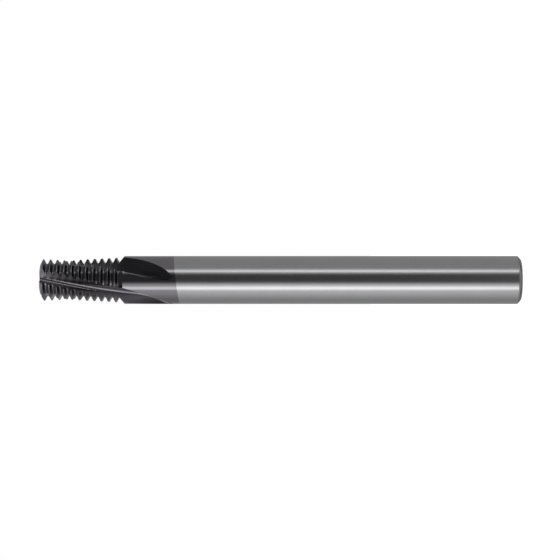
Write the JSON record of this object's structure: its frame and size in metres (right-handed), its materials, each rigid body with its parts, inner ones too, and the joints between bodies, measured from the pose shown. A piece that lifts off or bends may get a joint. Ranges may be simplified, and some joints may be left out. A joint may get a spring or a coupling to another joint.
{
  "type": "thread mill",
  "caption": "Solid carbide thread mill with a plain round shank, tapered ring teeth without lead and right-hand helical flutes that run out on the shank.",
  "frame": {"origin": "centre of the shank's end face, on the tool's axis", "axes": "+Z along the tool's axis towards the cutting tip; the front, as the picture shows it, faces -Y"},
  "size_m": [0.006, 0.006, 0.06],
  "materials": {
    "carbide": "ground carbide shank with a dark coated cutting head"
  },
  "bodies": {
    "root": {"thread_mill": "carbide"}
  },
  "joints": []
}
